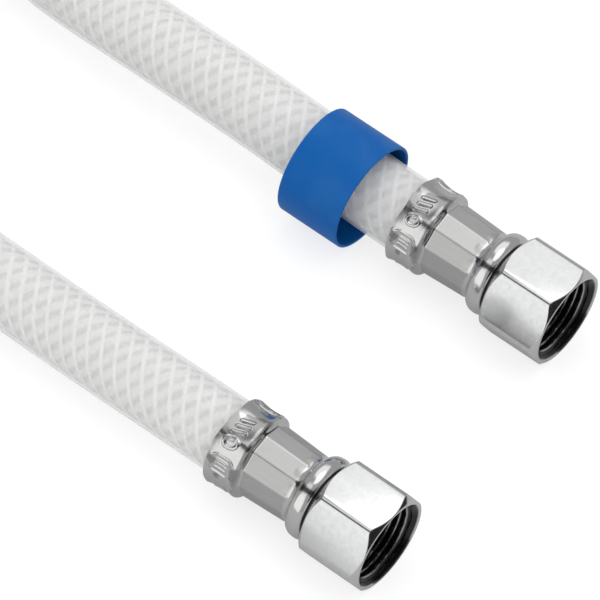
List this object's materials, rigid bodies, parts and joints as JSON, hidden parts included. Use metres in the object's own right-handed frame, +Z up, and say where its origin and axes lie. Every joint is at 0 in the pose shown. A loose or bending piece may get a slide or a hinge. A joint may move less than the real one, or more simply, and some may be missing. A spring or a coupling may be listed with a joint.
{
  "type": "braided supply line",
  "caption": "Reinforced flexible water supply hose with a crimped ferrule and a free-spinning hexagon nut on each end, and a loose colour marker sleeve.",
  "frame": {"origin": "on the surface that the line lies on, midway between the two fittings", "axes": "+X out of both nut mouths, +Z up, end A on the +Y side and end B on the -Y side"},
  "size_m": [0.3449, 0.1884, 0.0222],
  "materials": {
    "polished_nut": "bright chrome plate on brass",
    "washer_rubber": "dull black rubber",
    "tail_brass": "turned brass",
    "ferrule_steel": "stamped steel, crimped flats brushed, bead polished",
    "liner_pvc": "smooth soft plastic",
    "braid_yarn": "white polyester yarn",
    "cover_pvc": "translucent milky soft plastic",
    "marker_blue": "satin blue plastic"
  },
  "bodies": {
    "hose": {"hose_tail_a": "tail_brass", "crimp_ferrule_a": "ferrule_steel", "hose_tail_b": "tail_brass", "crimp_ferrule_b": "ferrule_steel", "hose_liner": "liner_pvc", "hose_yarns_right_hand": "braid_yarn", "hose_yarns_left_hand": "braid_yarn", "hose_cover": "cover_pvc"},
    "washer_a": {"sealing_washer_a": "washer_rubber"},
    "nut_a": {"swivel_nut_a": "polished_nut"},
    "washer_b": {"sealing_washer_b": "washer_rubber"},
    "nut_b": {"swivel_nut_b": "polished_nut"},
    "marker": {"marker_sleeve": "marker_blue"}
  },
  "joints": [
    {"name": "nut_a_float", "type": "slide", "parent": "hose", "child": "washer_a", "axis": [1, 0, 0], "range_m": [0, 0.0006]},
    {"name": "nut_a_spin", "type": "hinge", "parent": "washer_a", "child": "nut_a", "pos_m": [0.015, 0.031, 0.0095], "axis": [1, 0, 0], "continuous": true},
    {"name": "nut_b_float", "type": "slide", "parent": "hose", "child": "washer_b", "axis": [1, 0, 0], "range_m": [0, 0.0006]},
    {"name": "nut_b_spin", "type": "hinge", "parent": "washer_b", "child": "nut_b", "pos_m": [0.021, -0.031, 0.0095], "axis": [1, 0, 0], "continuous": true},
    {"name": "marker_slide", "type": "slide", "parent": "hose", "child": "marker", "axis": [1, 0, 0], "range_m": [-0.03, 0.0079]}
  ]
}
